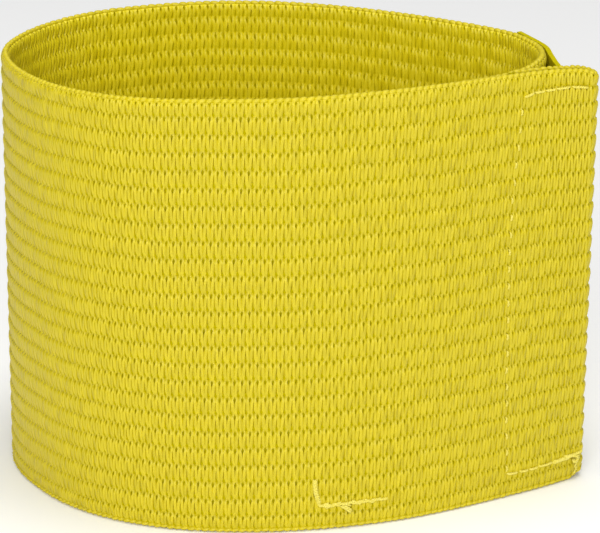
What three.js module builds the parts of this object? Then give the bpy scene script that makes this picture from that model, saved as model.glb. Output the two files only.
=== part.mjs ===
// An elastic armband, 90 mm wide, fastened into an upright loop that stands on its lower edge.
// The band is one long ribbed elastic. Seen from above it starts as the inner end behind the
// front wall, turns at the right into the back wall, runs round the left side and along the
// front, and ends in a flap that is folded back on itself as a hem. Two plain fastening tapes
// lie between the front wall and the inner end: the hook tape on the front wall, and the loop
// tape on the inner end, which also bridges from the hem to the back corner and goes round it.
// Millimetres, +Z up. The front faces -Y, and the origin is on the ground below the middle.
import * as THREE from 'three';

// Driving dimensions
const BAND_WIDTH = 90;
const RIB_COUNT = 25;
const RIB_THICKNESS = 1.8;
const GROOVE_THICKNESS = 1.3;
const TAPE_THICKNESS = 1;
const HOOK_TAPE_EDGES = { low: 3, high: 87 };
const LOOP_TAPE_EDGES = { low: 0.3, high: 89.7 };
const LOOP_TAPE_DROP = 1.6;
const LAYER_GAP = 0.35;
const FOLD_RADIUS = 1.2;
const FOLD_FACETS = 4;
const INNER_END_DROP = 1.6;
const DROP_FADE_STATIONS = 3;

// The wall's middle line at the top rim and at the bottom rim, in plan. Steps is the number of
// facets from a row to the next one.
const TURN_ROWS = [
  { x: 46.3, y: -12.5, bottomX: 45.1, bottomY: -11.6, steps: 2 },
  { x: 49.0, y: -8.9, bottomX: 48.2, bottomY: -7.2, steps: 2 },
  { x: 50.0, y: -3.6, bottomX: 49.6, bottomY: -2.4, steps: 2 },
  { x: 49.6, y: 1.6, bottomX: 49.4, bottomY: 2.8, steps: 2 },
  { x: 47.8, y: 6.7, bottomX: 47.5, bottomY: 7.7, steps: 1 },
  { x: 45.5, y: 11.2, bottomX: 45.3, bottomY: 11.9, steps: 1 },
];
const BACK_ROWS = [
  { x: 42.6, y: 14.4, bottomX: 42.6, bottomY: 14.9, steps: 1 },
  { x: 33.0, y: 21.9, bottomX: 33.0, bottomY: 22.3, steps: 1 },
  { x: 20.7, y: 29.5, bottomX: 20.7, bottomY: 29.5, steps: 1 },
  { x: 8.2, y: 35.3, bottomX: 8.2, bottomY: 34.9, steps: 1 },
  { x: -4.5, y: 38.7, bottomX: -4.5, bottomY: 38.3, steps: 1 },
  { x: -17.0, y: 39.0, bottomX: -17.0, bottomY: 38.7, steps: 1 },
  { x: -29.9, y: 36.1, bottomX: -30.2, bottomY: 36.1, steps: 2 },
];
const LEFT_ROWS = [
  { x: -42.4, y: 30.0, bottomX: -43.0, bottomY: 30.4, steps: 2 },
  { x: -51.0, y: 21.0, bottomX: -51.8, bottomY: 21.8, steps: 2 },
  { x: -56.6, y: 10.4, bottomX: -57.4, bottomY: 11.6, steps: 2 },
  { x: -58.8, y: 0.0, bottomX: -59.2, bottomY: 2.0, steps: 2 },
  { x: -57.2, y: -10.5, bottomX: -57.2, bottomY: -7.5, steps: 2 },
  { x: -53.2, y: -20.0, bottomX: -52.6, bottomY: -16.9, steps: 2 },
];
const FRONT_ROWS = [
  { x: -46.8, y: -28.8, bottomX: -46.3, bottomY: -25.6, steps: 2 },
  { x: -38.0, y: -35.4, bottomX: -37.5, bottomY: -32.8, steps: 1 },
  { x: -27.0, y: -39.1, bottomX: -26.7, bottomY: -37.6, steps: 1 },
  { x: -15.5, y: -39.7, bottomX: -15.5, bottomY: -39.6, steps: 1 },
  { x: -4.5, y: -39.4, bottomX: -4.5, bottomY: -39.6, steps: 1 },
];
// The stretch of the front wall that covers the inner end, up to the fold
const OVERLAP_ROWS = [
  { x: 5.0, y: -37.6, bottomX: 5.0, bottomY: -38.3, steps: 1 },
  { x: 14.0, y: -34.7, bottomX: 14.0, bottomY: -36.0, steps: 1 },
  { x: 23.0, y: -31.2, bottomX: 23.0, bottomY: -32.7, steps: 1 },
  { x: 33.0, y: -26.5, bottomX: 33.0, bottomY: -27.5, steps: 1 },
  { x: 43.5, y: -21.0, bottomX: 43.5, bottomY: -21.0, steps: 1 },
  { x: 51.0, y: -17.8, bottomX: 51.0, bottomY: -16.1, steps: 1 },
  { x: 58.6, y: -16.7, bottomX: 58.6, bottomY: -10.2, steps: 1 },
];
// Places along the overlap, counted in its rows
const INNER_END_ROW = 0;
const LOOP_TAPE_START = 0.15;
const HOOK_TAPE_END = 3.85;
const HEM_EDGE_ROW = 4;
const HEM_MIDDLE_ROW = 4.5;
const FLAP_ROW = 5;
// The loop tape's way from the hem across to the back corner, and round it on the outside
const BRIDGE_ROWS = [
  { x: 51.6, y: -13.2, bottomX: 50.4, bottomY: -11.3, steps: 1 },
  { x: 52.9, y: -11.9, bottomX: 51.7, bottomY: -9.6, steps: 1 },
  { x: 52.4, y: -6.9, bottomX: 52.0, bottomY: -4.6, steps: 1 },
  { x: 51.8, y: -1.5, bottomX: 51.6, bottomY: 0.3, steps: 1 },
  { x: 51.3, y: 3.0, bottomX: 51.0, bottomY: 4.4, steps: 1 },
  { x: 50.1, y: 6.0, bottomX: 49.9, bottomY: 7.0, steps: 1 },
  { x: 48.3, y: 9.6, bottomX: 48.1, bottomY: 10.3, steps: 1 },
  { x: 46.4, y: 13.3, bottomX: 46.2, bottomY: 13.8, steps: 1 },
];

// Distances from the front wall's middle line to those of the layers behind it
const TAPE_STEP = TAPE_THICKNESS + LAYER_GAP;
const ELASTIC_TO_TAPE = (RIB_THICKNESS + TAPE_THICKNESS) / 2 + LAYER_GAP;
const HEM_OFFSET = 2 * FOLD_RADIUS;
const HOOK_OFFSET = ELASTIC_TO_TAPE;
const LOOP_OFFSET = HOOK_OFFSET + TAPE_STEP;
const INNER_OFFSET = LOOP_OFFSET + ELASTIC_TO_TAPE;
const LOOP_OFFSET_AT_HEM = HEM_OFFSET + ELASTIC_TO_TAPE;
const INNER_OFFSET_AT_HEM = LOOP_OFFSET_AT_HEM + ELASTIC_TO_TAPE;

const ELASTIC_FINISH = new THREE.MeshStandardMaterial({ color: 0xdbc92c, roughness: 0.85, metalness: 0 });
const TAPE_FINISH = new THREE.MeshStandardMaterial({ color: 0xb5a015, roughness: 0.95, metalness: 0 });

// Stations along a path, each with its plan point at the top rim and at the bottom rim
function stationsThrough(rows) {
  const top = rows.map((row) => new THREE.Vector3(row.x, row.y, 0));
  const bottom = rows.map((row) => new THREE.Vector3(row.bottomX, row.bottomY, 0));
  const topCurve = new THREE.CatmullRomCurve3(top, false, 'centripetal');
  const bottomCurve = new THREE.CatmullRomCurve3(bottom, false, 'centripetal');
  const segments = rows.length - 1;
  const stationAt = (t) => ({ top: topCurve.getPoint(t), bottom: bottomCurve.getPoint(t) });
  const stations = [];
  for (let segment = 0; segment < segments; segment += 1) {
    for (let step = 0; step < rows[segment].steps; step += 1) {
      stations.push(stationAt((segment + step / rows[segment].steps) / segments));
    }
  }
  stations.push(stationAt(1));
  return stations;
}

// A drop at each station: the whole of it up to a station, fading out over the next ones
function fadingDrop(drop, lastWholeStation, fadeStations) {
  return (index) => {
    const share = 1 - (index - lastWholeStation) / fadeStations;
    return drop * THREE.MathUtils.clamp(share, 0, 1);
  };
}

// The way along the front wall at one of its overlap rows, at the top rim and at the bottom rim
function waysAlong(index) {
  const before = OVERLAP_ROWS[Math.max(index - 1, 0)];
  const after = OVERLAP_ROWS[Math.min(index + 1, OVERLAP_ROWS.length - 1)];
  const alongTop = new THREE.Vector3(after.x - before.x, after.y - before.y, 0).normalize();
  const alongBottom = new THREE.Vector3(after.bottomX - before.bottomX, after.bottomY - before.bottomY, 0);
  alongBottom.normalize();
  return { alongTop, alongBottom };
}

// A row of a layer that lies behind the front wall. The place counts overlap rows, and a part
// of one lies between two rows; the offset is measured from the wall's middle line.
function behindFront(place, offset) {
  const layerRow = (index) => {
    const row = OVERLAP_ROWS[index];
    const { alongTop, alongBottom } = waysAlong(index);
    return {
      x: row.x - alongTop.y * offset,
      y: row.y + alongTop.x * offset,
      bottomX: row.bottomX - alongBottom.y * offset,
      bottomY: row.bottomY + alongBottom.x * offset,
    };
  };
  const low = Math.floor(place);
  const share = place - low;
  const from = layerRow(low);
  const to = layerRow(Math.min(low + 1, OVERLAP_ROWS.length - 1));
  const row = { steps: 1 };
  for (const column of ['x', 'y', 'bottomX', 'bottomY']) {
    row[column] = THREE.MathUtils.lerp(from[column], to[column], share);
  }
  return row;
}

// The fold that turns the front wall's end back into the hem, as a half circle at both rims
function foldStations() {
  const fold = OVERLAP_ROWS.at(-1);
  const { alongTop, alongBottom } = waysAlong(OVERLAP_ROWS.length - 1);
  const turned = (x, y, along, angle) => {
    const inwards = FOLD_RADIUS * (1 - Math.cos(angle));
    const outwards = FOLD_RADIUS * Math.sin(angle);
    const plan = new THREE.Vector3(x, y, 0).addScaledVector(along, outwards);
    return plan.add(new THREE.Vector3(-along.y, along.x, 0).multiplyScalar(inwards));
  };
  const stations = [];
  for (let facet = 1; facet <= FOLD_FACETS; facet += 1) {
    const angle = Math.PI * facet / FOLD_FACETS;
    stations.push({
      top: turned(fold.x, fold.y, alongTop, angle),
      bottom: turned(fold.bottomX, fold.bottomY, alongBottom, angle),
    });
  }
  return stations;
}

// A closed wall swept along stations. Each level gives its share of the band's width, from 0 at
// the bottom rim, and the wall's thickness there. A station's drop lowers the wall's top.
function wallGeometry(stations, levels, dropAt) {
  const positions = [];
  const faces = [];
  const lastStation = stations.length - 1;
  const lastLevel = levels.length - 1;
  const middleAt = (index, share) => {
    const station = stations[THREE.MathUtils.clamp(index, 0, lastStation)];
    return new THREE.Vector3().lerpVectors(station.bottom, station.top, share);
  };
  stations.forEach((station, index) => {
    for (const side of [-1, 1]) {
      for (const level of levels) {
        const middle = middleAt(index, level.share);
        const along = middleAt(index + 1, level.share).sub(middleAt(index - 1, level.share)).normalize();
        const reach = side * level.thickness / 2;
        const height = level.share * (BAND_WIDTH - dropAt(index));
        positions.push(middle.x - along.y * reach, middle.y + along.x * reach, height);
      }
    }
  });
  const outer = (index, level) => 2 * index * levels.length + level;
  const inner = (index, level) => outer(index, level) + levels.length;
  const quad = (a, b, c, d) => faces.push(a, b, c, a, c, d);
  for (let index = 0; index < lastStation; index += 1) {
    const next = index + 1;
    for (let level = 0; level < lastLevel; level += 1) {
      quad(outer(index, level), outer(next, level), outer(next, level + 1), outer(index, level + 1));
      quad(inner(next, level), inner(index, level), inner(index, level + 1), inner(next, level + 1));
    }
    quad(outer(index, lastLevel), outer(next, lastLevel), inner(next, lastLevel), inner(index, lastLevel));
    quad(inner(index, 0), inner(next, 0), outer(next, 0), outer(index, 0));
  }
  for (let level = 0; level < lastLevel; level += 1) {
    const above = level + 1;
    quad(inner(0, level), outer(0, level), outer(0, above), inner(0, above));
    quad(outer(lastStation, level), inner(lastStation, level), inner(lastStation, above), outer(lastStation, above));
  }
  const geometry = new THREE.BufferGeometry();
  geometry.setAttribute('position', new THREE.Float32BufferAttribute(positions, 3));
  geometry.setIndex(faces);
  geometry.computeVertexNormals();
  return geometry;
}

// The elastic: a groove and a ridge for each rib, from rim to rim
function elasticGeometry() {
  const innerRows = [
    behindFront(INNER_END_ROW, INNER_OFFSET),
    behindFront(INNER_END_ROW + 1, INNER_OFFSET),
    behindFront(INNER_END_ROW + 2, INNER_OFFSET),
    behindFront(INNER_END_ROW + 3, INNER_OFFSET),
    behindFront(HEM_EDGE_ROW, INNER_OFFSET_AT_HEM),
  ];
  const loopRows = [...TURN_ROWS, ...BACK_ROWS, ...LEFT_ROWS, ...FRONT_ROWS, ...OVERLAP_ROWS];
  const hemRows = [behindFront(FLAP_ROW, HEM_OFFSET), behindFront(HEM_EDGE_ROW, HEM_OFFSET)];
  const stations = [
    ...stationsThrough([...innerRows, ...loopRows]),
    ...foldStations(),
    ...stationsThrough(hemRows),
  ];
  const levels = [];
  for (let step = 0; step <= 2 * RIB_COUNT; step += 1) {
    const thickness = step % 2 === 0 ? GROOVE_THICKNESS : RIB_THICKNESS;
    levels.push({ share: step / (2 * RIB_COUNT), thickness });
  }
  const dropAt = fadingDrop(INNER_END_DROP, innerRows.length - 1, DROP_FADE_STATIONS);
  return wallGeometry(stations, levels, dropAt);
}

function tapeGeometry(rows, edges, dropAt) {
  const levels = [
    { share: edges.low / BAND_WIDTH, thickness: TAPE_THICKNESS },
    { share: edges.high / BAND_WIDTH, thickness: TAPE_THICKNESS },
  ];
  return wallGeometry(stationsThrough(rows), levels, dropAt);
}

// The hook tape runs from above the inner end's edge to just short of the hem
function hookTapeGeometry() {
  const places = [0, 1, 2, 3, HOOK_TAPE_END];
  const rows = places.map((place) => behindFront(place, HOOK_OFFSET));
  return tapeGeometry(rows, HOOK_TAPE_EDGES, () => 0);
}

function loopTapeGeometry() {
  const places = [LOOP_TAPE_START, 1, 2, 3];
  const sewnRows = places.map((place) => behindFront(place, LOOP_OFFSET));
  const hemPlaces = [HEM_EDGE_ROW, HEM_MIDDLE_ROW, FLAP_ROW];
  const hemRows = hemPlaces.map((place) => behindFront(place, LOOP_OFFSET_AT_HEM));
  const rows = [...sewnRows, ...hemRows, ...BRIDGE_ROWS];
  const dropAt = fadingDrop(LOOP_TAPE_DROP, rows.length - 1 - BRIDGE_ROWS.length, BRIDGE_ROWS.length);
  return tapeGeometry(rows, LOOP_TAPE_EDGES, dropAt);
}

const armband = new THREE.Group();
function addPiece(name, geometry, finish) {
  const piece = new THREE.Mesh(geometry, finish);
  piece.name = name;
  armband.add(piece);
}
addPiece('band', elasticGeometry(), ELASTIC_FINISH);
addPiece('hook_tape', hookTapeGeometry(), TAPE_FINISH);
addPiece('loop_tape', loopTapeGeometry(), TAPE_FINISH);

// The origin goes to the ground below the middle of the whole armband
const middle = new THREE.Box3().setFromObject(armband).getCenter(new THREE.Vector3());
for (const piece of armband.children) {
  piece.geometry.translate(-middle.x, -middle.y, 0);
}

export default armband;
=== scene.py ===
# %% [markdown]
# This lesson dresses a wide elastic armband that is fastened into a loop and stands on its lower
# edge. The real band is a woven elastic: rubber threads and warp lie inside, and thick soft
# yarns run up and down over them on both faces, from one edge to the other. Its end is folded
# back and stitched, and covers a plain fastening tape. Everything is modelled flat, as it would
# lie on a loom, and is then bent onto the loop, because the yarns only repeat while it is flat.

# %% Load the frame
import math
import random

import bpy
import numpy as np
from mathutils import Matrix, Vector


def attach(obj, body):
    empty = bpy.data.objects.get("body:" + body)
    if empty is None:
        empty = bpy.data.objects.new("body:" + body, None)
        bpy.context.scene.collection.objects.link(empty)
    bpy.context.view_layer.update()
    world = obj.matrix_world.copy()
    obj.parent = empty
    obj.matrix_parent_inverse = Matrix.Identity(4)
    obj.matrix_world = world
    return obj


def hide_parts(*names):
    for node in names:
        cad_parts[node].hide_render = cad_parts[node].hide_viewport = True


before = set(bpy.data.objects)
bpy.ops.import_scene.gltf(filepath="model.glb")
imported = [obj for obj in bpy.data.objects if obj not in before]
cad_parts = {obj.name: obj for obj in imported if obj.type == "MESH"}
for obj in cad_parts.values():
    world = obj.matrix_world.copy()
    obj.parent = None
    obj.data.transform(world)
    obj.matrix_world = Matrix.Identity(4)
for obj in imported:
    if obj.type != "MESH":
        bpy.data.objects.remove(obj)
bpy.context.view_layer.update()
bpy.ops.object.select_all(action="DESELECT")

# %% [markdown]
# The camera stands about 60 cm in front of the band and looks down at it by 18 degrees, so the
# inside of the back wall shows over the front rim. Its focal length is given in pixels of a
# picture 600 wide, since that is how it was worked out from the two rims, and the lens follows.

# %% Camera
MM = 0.001
PICTURE_WIDTH = 600
FOCAL_PIXELS = 3242.5
CAMERA_PLACE_MM = (0.8, -639.2, 256.4)
CAMERA_TILT = math.radians(18.47)

camera_data = bpy.data.cameras.new("camera")
camera_data.sensor_width = 36
camera_data.lens = FOCAL_PIXELS / PICTURE_WIDTH * camera_data.sensor_width
camera = bpy.data.objects.new("camera", camera_data)
camera.location = [c * MM for c in CAMERA_PLACE_MM]
camera.rotation_euler = (math.pi / 2 - CAMERA_TILT, 0, 0)
bpy.context.scene.collection.objects.link(camera)
bpy.context.scene.camera = camera
print("lens", round(camera_data.lens, 1), "mm")

# %% [markdown]
# The loop's route is the wall's middle line, seen from above, at the top rim and at the bottom
# rim. The last column is the room that one pair of yarns takes up along the band: the elastic
# is stretched at the back and crowded at the left of the front, which the yarns show. Lengths
# are in millimetres until a shape is bent, when they become metres.

# %% Route of the loop
BAND_WIDTH = 90.0
PLAN_SHIFT = (-0.199, 0.354)
# x, y at the top rim, x, y at the bottom rim, pair pitch
TURN_ROWS = [
    (46.3, -12.5, 45.1, -11.6, 1.45),
    (49.0, -8.9, 48.2, -7.2, 1.50),
    (50.0, -3.6, 49.6, -2.4, 1.55),
    (49.6, 1.6, 49.4, 2.8, 1.60),
    (47.8, 6.7, 47.5, 7.7, 1.64),
    (45.5, 11.2, 45.3, 11.9, 1.66),
]
BACK_ROWS = [
    (42.6, 14.4, 42.6, 14.9, 1.66),
    (33.0, 21.9, 33.0, 22.3, 1.62),
    (20.7, 29.5, 20.7, 29.5, 1.58),
    (8.2, 35.3, 8.2, 34.9, 1.62),
    (-4.5, 38.7, -4.5, 38.3, 1.70),
    (-17.0, 39.0, -17.0, 38.7, 1.72),
    (-29.9, 36.1, -30.2, 36.1, 1.76),
]
LEFT_ROWS = [
    (-42.4, 30.0, -43.0, 30.4, 1.80),
    (-51.0, 21.0, -51.8, 21.8, 1.80),
    (-56.6, 10.4, -57.4, 11.6, 1.70),
    (-58.8, 0.0, -59.2, 2.0, 1.50),
    (-57.2, -10.5, -57.2, -7.5, 1.32),
    (-53.2, -20.0, -52.6, -16.9, 1.22),
]
FRONT_ROWS = [
    (-46.8, -28.8, -46.3, -25.6, 1.22),
    (-38.0, -35.4, -37.5, -32.8, 1.29),
    (-27.0, -39.1, -26.7, -37.6, 1.38),
    (-15.5, -39.7, -15.5, -39.6, 1.48),
    (-4.5, -39.4, -4.5, -39.6, 1.51),
]
OVERLAP_ROWS = [
    (5.0, -37.6, 5.0, -38.3, 1.52),
    (14.0, -34.7, 14.0, -36.0, 1.51),
    (23.0, -31.2, 23.0, -32.7, 1.43),
    (33.0, -26.5, 33.0, -27.5, 1.37),
    (43.5, -21.0, 43.5, -21.0, 1.36),
    (51.0, -17.8, 51.0, -16.1, 1.36),
    (58.6, -16.7, 58.6, -10.2, 1.20),
]
BRIDGE_ROWS = [
    (51.6, -13.2, 50.4, -11.3, 1),
    (52.9, -11.9, 51.7, -9.6, 1),
    (52.4, -6.9, 52.0, -4.6, 1),
    (51.8, -1.5, 51.6, 0.3, 1),
    (51.3, 3.0, 51.0, 4.4, 1),
    (50.1, 6.0, 49.9, 7.0, 1),
    (48.3, 9.6, 48.1, 10.3, 1),
    (46.4, 13.3, 46.2, 13.8, 1),
]
print("rows", len(TURN_ROWS) + len(BACK_ROWS) + len(LEFT_ROWS) + len(FRONT_ROWS) + len(OVERLAP_ROWS))

# %% [markdown]
# Behind the front wall lie the hem, the two tapes and the band's inner end, one on the other.
# Each is placed by its offset from the front wall, measured square to it.

# %% Layers behind the front wall
RIB_THICKNESS = 1.8
TAPE_THICKNESS = 1.0
LAYER_GAP = 0.35
FOLD_RADIUS = 1.2
ELASTIC_TO_TAPE = (RIB_THICKNESS + TAPE_THICKNESS) / 2 + LAYER_GAP
HEM_OFFSET = 2 * FOLD_RADIUS
LOOP_OFFSET = ELASTIC_TO_TAPE + TAPE_THICKNESS + LAYER_GAP
INNER_OFFSET = LOOP_OFFSET + ELASTIC_TO_TAPE
LOOP_OFFSET_AT_HEM = HEM_OFFSET + ELASTIC_TO_TAPE
INNER_OFFSET_AT_HEM = LOOP_OFFSET_AT_HEM + ELASTIC_TO_TAPE
LAYER_PITCH = 1.5


def way_along(index):
    """Unit directions of the front wall at an overlap row, at the top rim and at the bottom rim."""
    rows = np.array(OVERLAP_ROWS)
    step = rows[min(index + 1, len(rows) - 1)] - rows[max(index - 1, 0)]
    return step[0:2] / np.hypot(*step[0:2]), step[2:4] / np.hypot(*step[2:4])


def behind_front(place, offset, pitch=LAYER_PITCH):
    """A row that lies behind the front wall; place counts overlap rows."""
    def layer_row(index):
        top, bottom = way_along(index)
        row = OVERLAP_ROWS[index]
        return np.array([
            row[0] - top[1] * offset, row[1] + top[0] * offset,
            row[2] - bottom[1] * offset, row[3] + bottom[0] * offset, pitch,
        ])
    low = int(place)
    high = min(low + 1, len(OVERLAP_ROWS) - 1)
    return layer_row(low) + (place - low) * (layer_row(high) - layer_row(low))


print("inner end starts at", behind_front(0, INNER_OFFSET)[:2].round(2))

# %% [markdown]
# A smooth line through a few points is a Catmull-Rom spline. The centripetal kind is used,
# because it makes no loops where points crowd together, as they do at the sharp turn.

# %% Smooth lines through the rows
STEPS = 10


def smooth_line(points):
    """Points on a centripetal Catmull-Rom curve, with STEPS to each stretch."""
    points = np.array(points, float)
    first = 2 * points[0] - points[1]
    last = 2 * points[-1] - points[-2]
    knots = np.vstack([first, points, last])
    line = []
    for i in range(1, len(knots) - 2):
        before, start, end, after = knots[i - 1:i + 3]
        stretches = ((before, start), (start, end), (end, after))
        gap_in, gap, gap_out = [np.linalg.norm(b - a) ** 0.5 for a, b in stretches]
        slope_in = (start - before) / gap_in - (end - before) / (gap_in + gap) + (end - start) / gap
        slope_out = (end - start) / gap - (after - start) / (gap + gap_out) + (after - end) / gap_out
        slope_in, slope_out = slope_in * gap, slope_out * gap
        for t in np.arange(STEPS) / STEPS:
            bend = -3 * start + 3 * end - 2 * slope_in - slope_out
            curl = 2 * start - 2 * end + slope_in + slope_out
            line.append(start + slope_in * t + bend * t * t + curl * t ** 3)
    line.append(points[-1])
    return np.array(line)


def smooth_rows(rows):
    """The same for a table of rows: the two rims' places, and the pitch drawn straight."""
    rows = np.array(rows, float)
    at = np.linspace(0, len(rows) - 1, (len(rows) - 1) * STEPS + 1)
    pitch = np.interp(at, np.arange(len(rows)), rows[:, 4])
    return np.column_stack([smooth_line(rows[:, 0:2]), smooth_line(rows[:, 2:4]), pitch])


print("back wall has", len(smooth_rows(BACK_ROWS)), "stations")

# %% [markdown]
# At the right the band's end is folded back to make the hem. A thick elastic can't be creased,
# so the fold is a half circle at each rim, and the yarns crowd together on its way round.

# %% Fold
FOLD_STEPS = 12
FOLD_PITCH = 0.95


def fold_rows():
    """Rows on the half circle, from the front wall to the hem."""
    fold = OVERLAP_ROWS[-1]
    rows = []
    for angle in np.pi * np.arange(1, FOLD_STEPS + 1) / FOLD_STEPS:
        row = []
        for corner, way in zip((fold[0:2], fold[2:4]), way_along(len(OVERLAP_ROWS) - 1)):
            inwards = np.array([-way[1], way[0]]) * FOLD_RADIUS * (1 - np.cos(angle))
            row.extend(np.array(corner) + way * FOLD_RADIUS * np.sin(angle) + inwards)
        rows.append([*row, FOLD_PITCH])
    return np.array(rows)


print("fold reaches x", fold_rows()[:, 0].max().round(2))

# %% [markdown]
# A place on the route is counted in yarn pairs from its start, so that a shape modelled at even
# steps falls on the band as tightly as the yarns lie there. Every point of the cloth is placed
# by one function, which also presses in the fold's two corners: on the real band the sewing
# pulls them round, the lower one more than the upper one.

# %% Route with places beside it
# how far the fold's upper and lower corners are pressed in, over how many pairs and what height
CORNER_DROP = 1.0
CORNER_RISE = 2.2
CORNER_PAIRS = 3.4
CORNER_HEIGHT = 8.0


class Route:
    """A route through stations that hold both rims, which can place points beside itself."""

    def __init__(self, stations, drop=0.0, fade_rows=(0, 1)):
        self.rims = stations[:, 0:4] + np.array([*PLAN_SHIFT, *PLAN_SHIFT])
        middle = (self.rims[:, 0:2] + self.rims[:, 2:4]) / 2
        steps = np.hypot(*np.diff(middle, axis=0).T)
        pitch = (stations[1:, 4] + stations[:-1, 4]) / 2
        self.length = np.concatenate([[0], np.cumsum(steps)])
        self.pairs = np.concatenate([[0], np.cumsum(steps / pitch)])
        ways = [np.gradient(self.rims[:, c:c + 2], self.length, axis=0) for c in (0, 2)]
        sides = [np.column_stack([w[:, 1], -w[:, 0]]) / np.hypot(*w.T)[:, None] for w in ways]
        self.sides = np.column_stack(sides)
        self.rows = np.arange(len(stations)) / STEPS
        self.drop, self.fade_rows = drop, fade_rows
        self.fold_pairs = None

    def columns(self, values, pairs):
        return [np.interp(pairs, self.pairs, column) for column in values.T]

    def place(self, pairs, height, out):
        """Points in metres; out is the distance from the middle line, to the loop's outside."""
        share = height / BAND_WIDTH
        x_top, y_top, x_low, y_low = self.columns(self.rims, pairs)
        side_x_top, side_y_top, side_x_low, side_y_low = self.columns(self.sides, pairs)
        side_x = side_x_low + share * (side_x_top - side_x_low)
        side_y = side_y_low + share * (side_y_top - side_y_low)
        size = np.hypot(side_x, side_y)
        x = x_low + share * (x_top - x_low) + out * side_x / size
        y = y_low + share * (y_top - y_low) + out * side_y / size
        drop = self.drop * np.interp(np.interp(pairs, self.pairs, self.rows), self.fade_rows, (1, 0))
        height = height * (1 - drop / BAND_WIDTH) + self.corner_shift(pairs, height)
        return np.column_stack([x, y, height]) * MM

    def corner_shift(self, pairs, height):
        """How far the fold's two corners are pressed in, which makes them round."""
        if self.fold_pairs is None:
            return 0
        beside = np.clip(1 - np.abs(pairs - self.fold_pairs) / CORNER_PAIRS, 0, 1)
        at_top = np.clip(1 - (BAND_WIDTH - height) / CORNER_HEIGHT, 0, 1)
        at_bottom = np.clip(1 - height / CORNER_HEIGHT, 0, 1)
        return beside * (CORNER_RISE * at_bottom - CORNER_DROP * at_top)

    def pairs_at(self, station):
        return float(self.pairs[station])

    def pairs_from_length(self, length):
        return np.interp(length, self.length, self.pairs)


# %% [markdown]
# The whole band's route joins the inner end, the loop, the fold and the hem. The inner end's
# top is a little lower than the loop's, so that it stays out of sight behind the front rim.

# %% Route of the whole band
# the overlap row where the hem's inner edge lies
HEM_ROW = 4
INNER_END_DROP = 1.6
inner_rows = [behind_front(place, INNER_OFFSET) for place in (0, 1, 2, 3)]
inner_rows.append(behind_front(HEM_ROW, INNER_OFFSET_AT_HEM))
loop_rows = [*inner_rows, *TURN_ROWS, *BACK_ROWS, *LEFT_ROWS, *FRONT_ROWS, *OVERLAP_ROWS]
hem_rows = [behind_front(HEM_ROW + 1, HEM_OFFSET), behind_front(HEM_ROW, HEM_OFFSET)]
band_stations = np.vstack([smooth_rows(loop_rows), fold_rows(), smooth_rows(hem_rows)])
band_route = Route(band_stations, INNER_END_DROP, (len(inner_rows) - 1, len(inner_rows) + 1))
BAND_END = float(band_route.pairs[-1])
fold_station = (len(loop_rows) - 1) * STEPS
FOLD_LENGTH = float(band_route.length[fold_station])
band_route.fold_pairs = band_route.pairs_at(fold_station + FOLD_STEPS // 2)

# %% [markdown]
# The cloth is made in several pieces that meet at the loop's own parts: the turn at the right,
# the back, the left, the front and the flap. Here is how many pairs lie before each of them.

# %% Where the loop's parts start
def pairs_before(row_index):
    """How many pairs lie before one of the loop's rows."""
    return band_route.pairs_at(row_index * STEPS)


turn_row = len(inner_rows)
back_row = turn_row + len(TURN_ROWS)
left_row = back_row + len(BACK_ROWS)
front_row = left_row + len(LEFT_ROWS)
overlap_row = front_row + len(FRONT_ROWS)
TURN_START = pairs_before(turn_row - 1)
BACK_START = pairs_before(back_row - 1)
LEFT_START = pairs_before(left_row)
FRONT_START = pairs_before(front_row)
OVERLAP_START = pairs_before(overlap_row)
print("pairs before the front", round(FRONT_START), "and before the flap", round(OVERLAP_START))

# %% [markdown]
# Each finish is a node material, made from a few parts: a noise, a range of two colours, and a
# bump. All patterns read the piece's own UV map, which holds its flat place on the loom, so
# they follow the bent cloth, where a pattern in space would run straight through it.

# %% Material helpers
DARK_UP_TO = 0.3
LIGHT_FROM = 0.7


def new_material(name, base_color):
    material = bpy.data.materials.new(name)
    material.use_nodes = True
    shader = material.node_tree.nodes["Principled BSDF"]
    shader.inputs["Base Color"].default_value = (*base_color, 1)
    return material, material.node_tree, shader


def texture_place(tree, scale):
    """The piece's flat place, stretched by a scale for each direction."""
    uv = tree.nodes.new("ShaderNodeUVMap")
    uv.uv_map = "flat"
    mapping = tree.nodes.new("ShaderNodeMapping")
    mapping.inputs["Scale"].default_value = scale
    tree.links.new(uv.outputs["UV"], mapping.inputs["Vector"])
    return mapping.outputs["Vector"]


def noise(tree, place, scale, detail, roughness=0.5):
    node = tree.nodes.new("ShaderNodeTexNoise")
    node.inputs["Scale"].default_value = scale
    node.inputs["Detail"].default_value = detail
    node.inputs["Roughness"].default_value = roughness
    tree.links.new(place, node.inputs["Vector"])
    return node.outputs["Fac"]


def color_range(tree, value, dark, light):
    ramp = tree.nodes.new("ShaderNodeValToRGB")
    ramp.color_ramp.elements[0].position = DARK_UP_TO
    ramp.color_ramp.elements[0].color = (*dark, 1)
    ramp.color_ramp.elements[1].position = LIGHT_FROM
    ramp.color_ramp.elements[1].color = (*light, 1)
    tree.links.new(value, ramp.inputs["Fac"])
    return ramp.outputs["Color"]


def bump(tree, value, shader, distance, strength):
    node = tree.nodes.new("ShaderNodeBump")
    node.inputs["Distance"].default_value = distance
    node.inputs["Strength"].default_value = strength
    tree.links.new(value, node.inputs["Height"])
    tree.links.new(node.outputs["Normal"], shader.inputs["Normal"])
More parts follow.
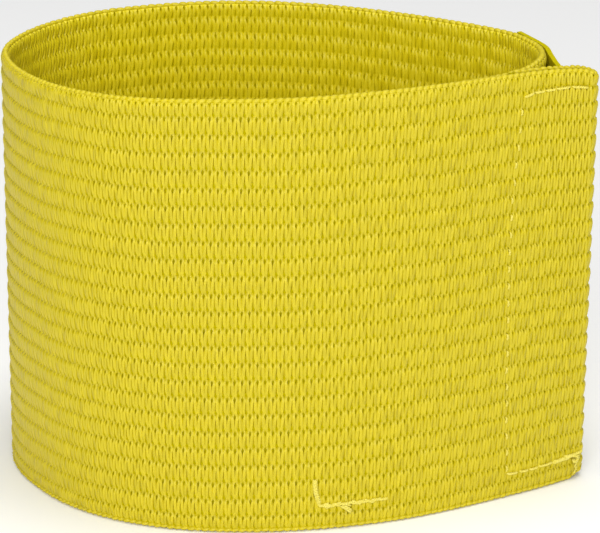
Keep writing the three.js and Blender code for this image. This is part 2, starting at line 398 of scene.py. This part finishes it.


# %% [markdown]
# The yarn is a soft, slightly lustrous polyester: its colour varies a little from yarn to yarn,
# and fine filaments run along it. The inside gets a lighter, warmer copy of the same yarn: this is
# painted light, which brightens the loop's inside beyond what the lamps give it. The core is dark
# and dull, partly as its rubber threads are and partly as painted shade, so that it reads as the
# shadowed gap between two yarns. The tape has a coarse dull nap, and the thread is paler than the cloth.

# %% Yarn, core, tape and thread
YARN_LIGHT = (0.65, 0.53, 0.002)
YARN_DARK = (0.55, 0.45, 0.001)
# the inside's copy of the yarn is lighter: painted light on the loop's inside
PAINTED_LIT_INSIDE_LIGHT = (0.75, 0.62, 0.002)
PAINTED_LIT_INSIDE_DARK = (0.65, 0.54, 0.001)
# the core's colours are darkened partly by its own rubber and partly as painted shade in the gaps
CORE_AND_SHADE_LIGHT = (0.46, 0.39, 0.001)
CORE_AND_SHADE_DARK = (0.38, 0.32, 0.001)
TAPE_LIGHT = (0.60, 0.51, 0.006)
TAPE_DARK = (0.48, 0.41, 0.003)
THREAD_LIGHT = (0.80, 0.70, 0.13)
THREAD_DARK = (0.72, 0.62, 0.07)
YARN_ROUGHNESS = 0.48
TONE_STRETCH = (1, 0.15, 1)
TONE_SCALE = 1.9
FILAMENT_STRETCH = (9, 0.9, 1)
FILAMENT_DEPTH = 0.00012


def yarn_material(name, light, dark):
    material, tree, shader = new_material(name, light)
    shader.inputs["Roughness"].default_value = YARN_ROUGHNESS
    shader.inputs["Specular IOR Level"].default_value = 0.5
    tone = noise(tree, texture_place(tree, TONE_STRETCH), TONE_SCALE, 3)
    tree.links.new(color_range(tree, tone, dark, light), shader.inputs["Base Color"])
    filaments = noise(tree, texture_place(tree, FILAMENT_STRETCH), 1.0, 3, 0.6)
    bump(tree, filaments, shader, FILAMENT_DEPTH, 0.6)
    return material


def plain_material(name, light, dark, roughness, grain, depth):
    material, tree, shader = new_material(name, light)
    shader.inputs["Roughness"].default_value = roughness
    shader.inputs["Specular IOR Level"].default_value = 0.0
    fine = noise(tree, texture_place(tree, (1, 1, 1)), grain, 4, 0.7)
    tree.links.new(color_range(tree, fine, dark, light), shader.inputs["Base Color"])
    bump(tree, fine, shader, depth, 0.8)
    return material


YARN = yarn_material("elastic_yarn", YARN_LIGHT, YARN_DARK)
# the same yarn made lighter for the loop's inside, as painted light
YARN_INSIDE_PAINTED_LIGHT = yarn_material("elastic_yarn_inside_painted_light", PAINTED_LIT_INSIDE_LIGHT, PAINTED_LIT_INSIDE_DARK)
# the core's dark colour is partly its own and partly painted shade between the yarns
CORE_WITH_SHADE = plain_material("elastic_core_painted_shade", CORE_AND_SHADE_LIGHT, CORE_AND_SHADE_DARK, roughness=0.8, grain=2.0, depth=0.00005)
TAPE = plain_material("napped_tape", TAPE_LIGHT, TAPE_DARK, roughness=0.95, grain=3.0, depth=0.0003)
THREAD = yarn_material("sewing_thread", THREAD_LIGHT, THREAD_DARK)
print("materials", [m.name for m in (YARN, YARN_INSIDE_PAINTED_LIGHT, CORE_WITH_SHADE, TAPE, THREAD)])

# %% [markdown]
# A flat shape has its length along X, its height along Z and its outside towards -Y. Bending
# moves each of its points to the place on the route that the same numbers name. The flat place
# is stored as a UV map first, so that the materials can find it again.

# %% Bending helper
def point_array(mesh):
    points = np.zeros(len(mesh.vertices) * 3)
    mesh.vertices.foreach_get("co", points)
    return points.reshape(-1, 3)


def bend_onto(piece, route, start=0.0, unrest=None, in_millimetres=False):
    """Bends a flat piece onto the route. Its X counts pairs, or millimetres, from start."""
    mesh = piece.data
    points = point_array(mesh)
    corners = np.zeros(len(mesh.loops), int)
    mesh.loops.foreach_get("vertex_index", corners)
    while mesh.uv_layers:
        mesh.uv_layers.remove(mesh.uv_layers[0])
    layer = mesh.uv_layers.new(name="flat")
    flat = np.column_stack([points[:, 0] + start, points[:, 2]])
    layer.data.foreach_set("uv", flat[corners].ravel())
    pairs, height, out = points[:, 0] + start, points[:, 2], -points[:, 1]
    if in_millimetres:
        pairs = route.pairs_from_length(pairs)
    if unrest is not None:
        pairs, height, out = unrest(pairs, height, out)
    mesh.vertices.foreach_set("co", route.place(pairs, height, out).ravel())
    mesh.update()


# %% [markdown]
# Every piece is finished alike: it gets its name, its material and smooth shading, and is told
# to the frame as a part that rides on the armband's one body. What repeats is modelled once and
# repeated by an Array, whose steps are exact, which copies placed by hand wouldn't be.

# %% Finishing helpers
SMOOTH_ANGLE = math.radians(70)


def select_only(piece):
    bpy.ops.object.select_all(action="DESELECT")
    piece.select_set(True)
    bpy.context.view_layer.objects.active = piece


def finish_piece(piece, name, material):
    """Names and colours a piece, and tells the frame what it rides on and is made of."""
    piece.name = name
    piece.data.name = name
    piece.data.materials.clear()
    piece.data.materials.append(material)
    select_only(piece)
    bpy.ops.object.shade_smooth_by_angle(angle=SMOOTH_ANGLE)
    bpy.ops.object.select_all(action="DESELECT")
    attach(piece, "root")
    print(name, sum(len(p.vertices) - 2 for p in piece.data.polygons), "triangles")
    return piece


def apply_modifier(piece, kind, **settings):
    bpy.context.view_layer.objects.active = piece
    modifier = piece.modifiers.new(kind.lower(), kind)
    for key, value in settings.items():
        setattr(modifier, key, value)
    bpy.ops.object.modifier_apply(modifier=modifier.name)


def repeat(piece, count, step, **settings):
    """Repeats a piece in a row, by an Array that is applied."""
    apply_modifier(piece, "ARRAY", count=count, use_relative_offset=False, use_constant_offset=True,
                   constant_offset_displace=step, **settings)


# %% [markdown]
# The core is what shows as a dark gap wherever two yarns part: its dark colour is partly the
# rubber core's own and partly painted shade. It could be left out, but then light would come
# through the gaps. It is a plain grid bent onto the route, and Solidify gives it its thickness
# afterwards, so both its faces keep the same distance from the middle.

# %% Core of the band
CORE_THICKNESS = 0.8
CORE_STEP = 1.0
CORE_ROWS = 30
EDGE_MARGIN = 0.6


def flat_grid(length, low, high, columns, rows):
    """A flat upright grid from X = 0 to the length, with its outside towards -Y."""
    bpy.ops.mesh.primitive_grid_add(
        x_subdivisions=columns, y_subdivisions=rows, size=1,
        location=(length / 2, 0, (low + high) / 2), rotation=(math.pi / 2, 0, 0),
    )
    grid = bpy.context.object
    grid.scale = (length, high - low, 1)
    bpy.ops.object.transform_apply(location=True, rotation=True, scale=True)
    return grid


core = flat_grid(BAND_END, EDGE_MARGIN, BAND_WIDTH - EDGE_MARGIN, round(BAND_END / CORE_STEP), CORE_ROWS)
bend_onto(core, band_route)
apply_modifier(core, "SOLIDIFY", thickness=CORE_THICKNESS * MM, offset=0)
finish_piece(core, "band_core", CORE_WITH_SHADE)

# %% [markdown]
# Seen closely, the cloth is rows of round-topped lobes. A lobe is a pair of yarns, one rib
# high. The two lie close together below the groove, where a dark gap opens to their
# neighbours, and part above the next groove, where a gap opens between the two. In between
# they nearly touch. So one pair, one rib high, is enough: the rest of the cloth repeats it.
# A yarn starts as a plane, its section is set, and it is extruded up through a table's rows.

# %% One pair of yarns, one rib high
RIB_COUNT = 25
RIB_HEIGHT = BAND_WIDTH / RIB_COUNT
# share of the rib's height, place beside the pair's middle, outer face, half width
OUTER_SECTIONS = [
    (0.00, 0.240, 0.58, 0.268),
    (0.09, 0.362, 0.64, 0.224),
    (0.32, 0.286, 0.81, 0.283),
    (0.72, 0.238, 0.98, 0.268),
    (0.93, 0.142, 0.88, 0.232),
]
INNER_SECTIONS = [
    (0.00, 0.240, 0.62, 0.272),
    (0.14, 0.345, 0.74, 0.238),
    (0.55, 0.268, 0.92, 0.278),
    (0.86, 0.156, 0.86, 0.242),
]
YARN_DEPTH = 0.36
CREST_SHARE = 0.70


def yarn_pair(sections):
    """Two mirrored yarns, one rib high, with open ends. X is in pair pitches."""
    _, aside, face, half_width = sections[0]
    bpy.ops.mesh.primitive_plane_add(size=2, location=(0, 0, 0))
    yarn = bpy.context.object
    bpy.ops.object.mode_set(mode="EDIT")
    bpy.ops.mesh.select_mode(type="VERT")
    bpy.ops.transform.resize(value=(half_width, YARN_DEPTH / 2, 1))
    bpy.ops.transform.translate(value=(aside, YARN_DEPTH / 2 - face, 0))
    bpy.ops.mesh.select_all(action="DESELECT")
    bpy.ops.object.mode_set(mode="OBJECT")
    for vertex in yarn.data.vertices:
        vertex.select = vertex.co.y < YARN_DEPTH / 2 - face
    bpy.ops.object.mode_set(mode="EDIT")
    bpy.ops.transform.resize(value=(CREST_SHARE, 1, 1), center_override=(aside, -face, 0))
    bpy.ops.mesh.select_all(action="SELECT")
    before = sections[0]
    for row in [*sections[1:], (1.0, *sections[0][1:])]:
        move = (row[1] - before[1], before[2] - row[2], (row[0] - before[0]) * RIB_HEIGHT)
        bpy.ops.mesh.extrude_region_move(TRANSFORM_OT_translate={"value": move})
        pivot = (row[1], -row[2], row[0] * RIB_HEIGHT)
        bpy.ops.transform.resize(value=(row[3] / before[3], 1, 1), center_override=pivot)
        before = row
    bpy.ops.mesh.select_all(action="SELECT")
    bpy.ops.mesh.normals_make_consistent(inside=False)
    bpy.ops.mesh.select_all(action="DESELECT")
    bpy.ops.object.mode_set(mode="OBJECT")
    for polygon in yarn.data.polygons:
        polygon.select = abs(polygon.normal.z) > 0.9
    bpy.ops.object.mode_set(mode="EDIT")
    bpy.ops.mesh.select_mode(type="FACE")
    bpy.ops.mesh.delete(type="FACE")
    bpy.ops.object.mode_set(mode="OBJECT")
    apply_modifier(yarn, "MIRROR", use_mirror_merge=False)
    return yarn


# %% [markdown]
# A woven cloth is never quite even, so bending also adds a little unrest: slow waves in the
# ribs, and a small wander and swell of each yarn. Sums of sines are enough, and they are the
# same every time. The ribs at the two edges are lower than the others and rounded off.

# %% Unrest of the weave
EDGE_RIB_SHARE = 0.8
# the share of the thickness that is gone at the very edge, and how far up that reaches
OUTER_EDGE_ROUNDING = 0.32
INNER_EDGE_ROUNDING = 0.10
EDGE_ROUNDING_HEIGHT = 2.2
# in pairs, how far yarns lean and wander sideways, and the share of a rib where they stand upright
LEAN = 0.045
LEAN_SHARE = 0.2
WANDER = 0.012
SMALL_WANDER = 0.008
# in millimetres, how far yarns swell and ribs rise and fall
SWELL = 0.03
WAVE = 0.10
SMALL_WAVE = 0.05
WAVE_FADE_HEIGHT = 3


def squeeze_edge_ribs(height):
    low, high = RIB_HEIGHT, BAND_WIDTH - RIB_HEIGHT
    height = np.where(height < low, low + (height - low) * EDGE_RIB_SHARE, height)
    return np.where(height > high, high + (height - high) * EDGE_RIB_SHARE, height)


def rib_waves(pairs, height):
    """How far the ribs rise and fall along the band, fading out at its edges."""
    inside = np.clip(height * (BAND_WIDTH - height) / BAND_WIDTH / WAVE_FADE_HEIGHT, 0, 1)
    waves = WAVE * np.sin(pairs * 0.31 + height * 0.05) + SMALL_WAVE * np.sin(pairs * 0.83 + 2.0)
    return waves * inside


def weave_unrest(pairs, height, out):
    """Small uneven shifts of the cloth, the same every time."""
    yarn = np.floor(pairs * 2)
    rib = height / RIB_HEIGHT
    wander = WANDER * np.sin(yarn * 2.399 + 1.7 * rib) + SMALL_WANDER * np.sin(yarn * 5.1 + 0.9 * rib)
    lean = -LEAN * np.sin(2 * np.pi * (rib - LEAN_SHARE))
    swelled = out + SWELL * np.sin(yarn * 3.7 + rib * 2.1) * np.sign(out)
    height = squeeze_edge_ribs(height)
    from_edge = np.minimum(height, BAND_WIDTH - height)
    most = np.where(out > 0, OUTER_EDGE_ROUNDING, INNER_EDGE_ROUNDING)
    rounding = 1 - most * np.clip(1 - from_edge / EDGE_ROUNDING_HEIGHT, 0, 1) ** 2
    return pairs + wander + lean, height + rib_waves(pairs, height), swelled * rounding


# %% [markdown]
# The pair is repeated up the band, its ends are closed, and it is repeated along the band. The
# inside has the same pairs, mirrored through the middle of the wall. One mesh for the whole
# cloth would be too heavy, so it is cut into eight pieces where the loop's parts meet.

# %% Weave from pairs
OUTSIDE, INSIDE = 1, -1


def turn_inside(piece):
    """Turns an outside piece to the inside, by mirroring it through the middle of the wall."""
    select_only(piece)
    bpy.ops.object.mode_set(mode="EDIT")
    bpy.ops.mesh.select_all(action="SELECT")
    bpy.ops.transform.mirror(constraint_axis=(False, True, False), center_override=(0, 0, 0))
    bpy.ops.mesh.normals_make_consistent(inside=False)
    bpy.ops.object.mode_set(mode="OBJECT")


def weave(name, first, last, sections, side):
    """Yarns from one count of pairs to another, on the outside or the inside."""
    yarns = yarn_pair(sections)
    repeat(yarns, RIB_COUNT, (0, 0, RIB_HEIGHT), use_merge_vertices=True, merge_threshold=0.001)
    bpy.ops.object.mode_set(mode="EDIT")
    bpy.ops.mesh.select_all(action="SELECT")
    bpy.ops.mesh.fill_holes(sides=4)
    bpy.ops.mesh.select_all(action="SELECT")
    bpy.ops.mesh.normals_make_consistent(inside=False)
    bpy.ops.mesh.select_all(action="DESELECT")
    bpy.ops.object.mode_set(mode="OBJECT")
    if side == INSIDE:
        turn_inside(yarns)
    repeat(yarns, int(last) - int(first), (1, 0, 0))
    bend_onto(yarns, band_route, int(first) + 0.5, weave_unrest)
    # the inside yarns take the lighter copy, which is painted light
    return finish_piece(yarns, name, YARN if side == OUTSIDE else YARN_INSIDE_PAINTED_LIGHT)


# the tape hides the outside up to the turn, and the inner end hides the front wall's inside
OUTSIDE_START = TURN_START - 4
FRONT_CUT = FRONT_START + 8
FLAP_CUT = OVERLAP_START + 12
INSIDE_END = OVERLAP_START + 1
dressing = [
    weave("weave_outside_back", OUTSIDE_START, LEFT_START, OUTER_SECTIONS, OUTSIDE),
    weave("weave_outside_left", LEFT_START, FRONT_CUT, OUTER_SECTIONS, OUTSIDE),
    weave("weave_outside_front", FRONT_CUT, FLAP_CUT, OUTER_SECTIONS, OUTSIDE),
    weave("weave_outside_flap", FLAP_CUT, BAND_END - 1, OUTER_SECTIONS, OUTSIDE),
    weave("weave_inside_end", 1, BACK_START, INNER_SECTIONS, INSIDE),
    weave("weave_inside_back", BACK_START, LEFT_START, INNER_SECTIONS, INSIDE),
    weave("weave_inside_left", LEFT_START, FRONT_CUT, INNER_SECTIONS, INSIDE),
    weave("weave_inside_front", FRONT_CUT, INSIDE_END, INNER_SECTIONS, INSIDE),
]

# %% [markdown]
# At the edges the yarns turn round the outermost rubber thread and go back. At the top this
# makes a row of slanted knots, one to a pair, and at the bottom a thin smooth cord. Both are
# rows of round beads that lie over the wall's edge: a sphere, turned a little, and repeated.

# %% Edges of the weave
# middle's height, half length, half depth, half height in mm, and slant in degrees
TOP_KNOT = (89.40, 0.99, 0.64, 0.55, 15)
BOTTOM_KNOT = (0.60, 1.15, 0.96, 0.50, 9)
TYPICAL_PITCH = 1.5
KNOT_WANDER = 0.04
KNOT_SWELL = 0.05


def knot_unrest(pairs, height, out):
    knot = np.floor(pairs - 0.5)
    height = height + KNOT_WANDER * np.sin(knot * 2.7)
    return pairs, height, out * (1 + KNOT_SWELL * np.sin(knot * 4.1))


def edge_knots(name, knot):
    height, half_length, half_depth, half_height, slant = knot
    bpy.ops.mesh.primitive_ico_sphere_add(subdivisions=2, radius=1, location=(0, 0, 0))
    knots = bpy.context.object
    knots.scale = (half_length, half_depth, half_height)
    bpy.ops.object.transform_apply(location=True, rotation=True, scale=True)
    knots.rotation_euler = (0, -math.radians(slant), 0)
    bpy.ops.object.transform_apply(location=True, rotation=True, scale=True)
    knots.location = (0.5, 0, height)
    knots.scale = (1 / TYPICAL_PITCH, 1, 1)
    bpy.ops.object.transform_apply(location=True, rotation=True, scale=True)
    repeat(knots, int(BAND_END) - 1, (1, 0, 0))
    bend_onto(knots, band_route, 0.5, knot_unrest)
    return finish_piece(knots, name, YARN)


dressing.append(edge_knots("selvage_top", TOP_KNOT))
dressing.append(edge_knots("selvage_bottom", BOTTOM_KNOT))

# %% [markdown]
# The plain tapes are thin sheets behind the flap. The loop tape shows between the hem and the
# back corner, which it goes round on the outside, so it gets the same grid and Solidify as the
# core and a napped finish.

# %% Fastening tapes
HOOK_TAPE_EDGES = (3.0, 87.0)
LOOP_TAPE_EDGES = (0.3, 89.7)
LOOP_TAPE_DROP = 1.6
# the overlap rows where the hook tape ends and the loop tape starts
HOOK_TAPE_END = 3.85
LOOP_TAPE_START = 0.15
# a tape has no yarns, so its route counts millimetres instead of pairs
TAPE_PITCH = 1
TAPE_STEP = 1.5
TAPE_ROWS = 42


def tape(name, node, rows, edges, drop=0.0, fade_rows=(0, 1)):
    route = Route(smooth_rows(rows), drop, fade_rows)
    sheet = flat_grid(float(route.pairs[-1]), *edges,
                      round(route.length[-1] / TAPE_STEP), TAPE_ROWS)
    bend_onto(sheet, route)
    apply_modifier(sheet, "SOLIDIFY", thickness=TAPE_THICKNESS * MM, offset=0)
    finish_piece(sheet, name, TAPE)
    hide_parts(node)
    print(name, "is", round(edges[1] - edges[0], 1), "by", round(route.length[-1], 1), "mm")


def tape_rows(places, offset):
    return [behind_front(place, offset, TAPE_PITCH) for place in places]


hook_rows = tape_rows((0, 1, 2, 3, HOOK_TAPE_END), ELASTIC_TO_TAPE)
loop_tape_rows = tape_rows((LOOP_TAPE_START, 1, 2, 3), LOOP_OFFSET)
loop_tape_rows += tape_rows((HEM_ROW, HEM_ROW + 0.5, HEM_ROW + 1), LOOP_OFFSET_AT_HEM)
bridge_start = len(loop_tape_rows) - 1
loop_tape_rows += BRIDGE_ROWS
tape("hook_tape_cloth", "hook_tape", hook_rows, HOOK_TAPE_EDGES)
tape("loop_tape_cloth", "loop_tape", loop_tape_rows, LOOP_TAPE_EDGES, LOOP_TAPE_DROP,
     (bridge_start, len(loop_tape_rows) - 1))

# %% [markdown]
# The sewing thread is two plies twisted together. A stitch is drawn as two curves that wind
# round each other along a short path on the cloth, with a round bevel. They are made a mesh
# before they are bent, since only a mesh can hold its place. Paths are in millimetres: the
# distance from the fold, the height, and the lift off the middle of the wall.

# %% Thread helper
PLY_RADIUS = 0.15
PLY_TURN = 1.1
PLY_STEP = 0.16
PLY_SPREAD = 0.9
thread_random = random.Random(7)


def even_points(path, step):
    """The path again, with points a step apart, and its length."""
    path = np.array(path, float)
    at = np.concatenate([[0], np.cumsum(np.linalg.norm(np.diff(path, axis=0), axis=1))])
    places = np.linspace(0, at[-1], max(3, int(at[-1] / step) + 1))
    return np.column_stack([np.interp(places, at, column) for column in path.T]), at[-1]


def add_tube(curve, points, radius):
    """A round strand along the points, a little thinner at its ends."""
    spline = curve.splines.new("POLY")
    spline.points.add(len(points) - 1)
    spline.points.foreach_set("co", np.column_stack([points, np.ones(len(points))]).ravel())
    ends = np.minimum(np.arange(len(points)), np.arange(len(points))[::-1])
    spline.points.foreach_set("radius", np.clip((ends + 1) / 3, 0.45, 1) * radius)


def new_thread_curve(name):
    curve = bpy.data.curves.new(name, "CURVE")
    curve.dimensions = "3D"
    curve.bevel_depth = 1
    curve.bevel_resolution = 1
    curve.use_fill_caps = True
    return curve


def add_stitch(curve, path, radius=PLY_RADIUS):
    """Two plies wound round a path of (x, height, lift)."""
    points, length = even_points(path, PLY_STEP)
    turn = np.linspace(0, 2 * np.pi * length / PLY_TURN, len(points)) + thread_random.uniform(0, 6.28)
    flat = np.column_stack([points[:, 0], -points[:, 2], points[:, 1]])
    way = np.gradient(flat, axis=0)
    way /= np.linalg.norm(way, axis=1)[:, None]
    side = np.cross(way, (0, 1, 0))
    lift = np.cross(side, way)
    for phase in (0, np.pi):
        ring = side * np.cos(turn + phase)[:, None] + lift * np.sin(turn + phase)[:, None]
        add_tube(curve, flat + ring * radius * PLY_SPREAD, radius)


def finish_thread(curve, name):
    """Makes the curve a mesh and bends it, measured from the fold."""
    piece = bpy.data.objects.new(name, curve)
    bpy.context.scene.collection.objects.link(piece)
    select_only(piece)
    bpy.ops.object.convert(target="MESH")
    piece = bpy.context.object
    bend_onto(piece, band_route, FOLD_LENGTH, in_millimetres=True)
    return finish_piece(piece, name, THREAD)


# %% [markdown]
# The hem is held by one seam that goes round it: five long stitches along the top, one short
# stitch in each rib down the left, and more along the bottom, where the last ones lie doubled
# and end in a loose tail.

# %% Hem seam
STITCH_LIFT = 1.12
STITCH_CROWN = 0.08
STITCH_SINK = 0.55
# from the fold and height, at each stitch's two ends
TOP_STITCHES = [
    (-15.2, 85.15, -12.9, 85.75),
    (-12.7, 85.75, -10.4, 85.90),
    (-10.1, 85.90, -7.9, 86.05),
    (-7.6, 86.05, -4.4, 86.35),
    (-4.0, 86.30, -0.4, 86.25),
]
BOTTOM_STITCHES = [
    (-17.6, 5.35, -14.9, 5.15),
    (-14.4, 5.15, -12.4, 5.15),
    (-12.0, 5.10, -10.1, 5.20),
    (-9.8, 5.20, -6.6, 5.40),
]
# the doubled stitches are thicker, and a knot closes them at the fold
DOUBLED_STITCHES = [
    (-6.5, 5.15, -3.2, 5.60),
    (-4.9, 5.45, -1.0, 5.75),
    (-3.8, 5.85, 0.6, 5.65),
    (-6.2, 5.45, -2.4, 5.35),
]
DOUBLED_RADIUS = 0.20
# the knot and the tail are paths, in the thread helper's own three numbers
CLOSING_KNOT = [
    (-1.9, 5.6, 1.15), (-0.9, 5.2, 1.45), (-0.6, 4.4, 1.4), (-1.4, 4.0, 1.45), (-1.8, 4.8, 1.35),
]
SEAM_TAIL = [
    (-1.0, 4.6, 1.25), (-0.8, 3.8, 1.4), (-1.3, 3.0, 1.35), (-0.9, 2.1, 1.3), (-1.5, 1.2, 1.2),
]
TAIL_RADIUS = 0.12
# height, and distance from the fold, of the line of short stitches down the hem's inner edge
SEAM_LEFT_LINE = [
    (5, -17.6), (22, -18.0), (40, -18.2), (58, -17.9), (65, -17.7), (73, -16.8), (83, -15.6),
]
SHORT_STITCH_TOP = 0.2
SHORT_STITCH_FOOT = 1.35
SHORT_STITCH_RADIUS = 0.14


def laid_stitch(row):
    """A stitch that rises out of the cloth, lies on it, and goes down again."""
    x0, z0, x1, z1 = row
    shares = (0.0, 0.12, 0.5, 0.88, 1.0)
    lifts = (STITCH_SINK, STITCH_LIFT, STITCH_LIFT + STITCH_CROWN, STITCH_LIFT, STITCH_SINK)
    return [(x0 + s * (x1 - x0), z0 + s * (z1 - z0), h) for s, h in zip(shares, lifts)]


hem_curve = new_thread_curve("hem_seam")
for row in [*TOP_STITCHES, *BOTTOM_STITCHES]:
    add_stitch(hem_curve, laid_stitch(row))
for row in DOUBLED_STITCHES:
    add_stitch(hem_curve, laid_stitch(row), DOUBLED_RADIUS)
add_stitch(hem_curve, CLOSING_KNOT, DOUBLED_RADIUS)
add_stitch(hem_curve, SEAM_TAIL, TAIL_RADIUS)
for rib in range(2, RIB_COUNT - 1):
    z = rib * RIB_HEIGHT
    x = float(np.interp(z, *zip(*SEAM_LEFT_LINE))) + thread_random.uniform(-0.12, 0.12)
    lean = thread_random.uniform(-0.25, 0.15)
    ends = (x, z - SHORT_STITCH_TOP, x + lean, z - SHORT_STITCH_FOOT)
    add_stitch(hem_curve, laid_stitch(ends), SHORT_STITCH_RADIUS)
dressing.append(finish_thread(hem_curve, "hem_seam"))

# %% [markdown]
# At the lower left the end of the tape behind is tacked through the front: one upright
# stitch, and a ragged row of small crossing ones beside it, with two short tails. The row's left
# part is sewn over a second time, and a few fine fibres stand off where the thread is worn.

# %% Tape tack
UPRIGHT_TACK = [
    (-60.4, 10.9, 0.6), (-60.4, 10.3, 1.1), (-60.2, 8.3, 1.15), (-59.6, 6.2, 1.1), (-59.5, 5.6, 0.6),
]
UPRIGHT_SPREAD = 0.18
TACK_TAIL = [(-54.6, 5.2, 1.1), (-53.9, 4.7, 1.3), (-53.2, 4.2, 1.35), (-52.9, 3.9, 1.2)]
SECOND_TAIL = [(-55.2, 5.0, 1.1), (-54.4, 4.7, 1.4), (-53.6, 4.0, 1.4), (-53.0, 3.5, 1.2)]
TACK_START = -59.5
TACK_END = -45.6
TACK_HEIGHT = 5.45
TACK_COUNT = 10
TACK_RADIUS = 0.18
RAGGED_COUNT = 12
RAGGED_LENGTH = 8.0
RAGGED_RADIUS = 0.14
RAGGED_STITCH = 1.5
FIBRE_COUNT = 12
FIBRE_RADIUS = 0.05

tack_curve = new_thread_curve("tape_tack")
for shift in (-UPRIGHT_SPREAD, UPRIGHT_SPREAD):
    add_stitch(tack_curve, [(x + shift, z, lift) for x, z, lift in UPRIGHT_TACK], TACK_RADIUS)
add_stitch(tack_curve, TACK_TAIL, TACK_RADIUS)
add_stitch(tack_curve, SECOND_TAIL, TACK_RADIUS)
tack_step = (TACK_END - TACK_START) / TACK_COUNT
for index in range(TACK_COUNT):
    x = TACK_START + index * tack_step
    tilt = thread_random.uniform(-0.35, 0.35)
    z = TACK_HEIGHT + thread_random.uniform(-0.15, 0.15)
    add_stitch(tack_curve, laid_stitch((x - 0.3, z - tilt, x + tack_step + 0.35, z + tilt)), TACK_RADIUS)
for index in range(RAGGED_COUNT):
    x = TACK_START + thread_random.uniform(0, RAGGED_LENGTH)
    z = TACK_HEIGHT + thread_random.uniform(-0.3, 0.25)
    tilt = thread_random.uniform(-0.4, 0.4)
    add_stitch(tack_curve, laid_stitch((x, z - tilt, x + RAGGED_STITCH, z + tilt)), RAGGED_RADIUS)
for index in range(FIBRE_COUNT):
    x = TACK_START + thread_random.uniform(-0.6, RAGGED_LENGTH)
    z = TACK_HEIGHT + thread_random.uniform(-0.3, 0.3)
    across, up = thread_random.uniform(-0.9, 0.9), thread_random.uniform(-1.1, 0.9)
    fibre = [(x, z, 1.0), (x + across * 0.5, z + up * 0.3, 1.45), (x + across, z + up, 1.35)]
    add_tube(tack_curve, np.array([(px, -lift, pz) for px, pz, lift in fibre]), FIBRE_RADIUS)
dressing.append(finish_thread(tack_curve, "tape_tack"))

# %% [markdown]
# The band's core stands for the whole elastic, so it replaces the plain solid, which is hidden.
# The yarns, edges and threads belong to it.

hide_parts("band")

# %% [markdown]
# The floor is a large pale disc, so its edge stays out of view. The light is soft and comes
# from the front and above, which shades every rib a little from its top to its bottom and
# reaches over the front rim to the back wall's inside. A dim even world fills the rest.
# Standard colours keep the yellow as strong as it is.

# %% Floor and light
FLOOR_COLOR = (0.95, 0.95, 0.945)
FLOOR_RADIUS = 3
WORLD_STRENGTH = 0.265
AIM = (0, 0, 0.045)


def area_light(name, place, size, power):
    data = bpy.data.lights.new(name, "AREA")
    data.shape = "DISK"
    data.size = size
    data.energy = power
    lamp = bpy.data.objects.new(name, data)
    lamp.location = place
    lamp.rotation_mode = "QUATERNION"
    lamp.rotation_quaternion = (Vector(AIM) - Vector(place)).to_track_quat("-Z", "Y")
    bpy.context.scene.collection.objects.link(lamp)


bpy.ops.mesh.primitive_circle_add(vertices=96, radius=FLOOR_RADIUS, fill_type="NGON", location=(0, 0, 0))
floor = bpy.context.object
floor.name = "floor"
floor_material, _, floor_shader = new_material("pale_floor", FLOOR_COLOR)
floor_shader.inputs["Roughness"].default_value = 0.9
floor.data.materials.append(floor_material)

area_light("key_light", place=(-0.1, -1.3, 0.66), size=0.9, power=15.5)
area_light("top_light", place=(0.1, -0.1, 1.6), size=0.9, power=15.0)
world = bpy.data.worlds.new("world")
world.use_nodes = True
world.node_tree.nodes["Background"].inputs["Color"].default_value = (1, 1, 1, 1)
world.node_tree.nodes["Background"].inputs["Strength"].default_value = WORLD_STRENGTH
bpy.context.scene.world = world
bpy.context.scene.view_settings.view_transform = "Standard"
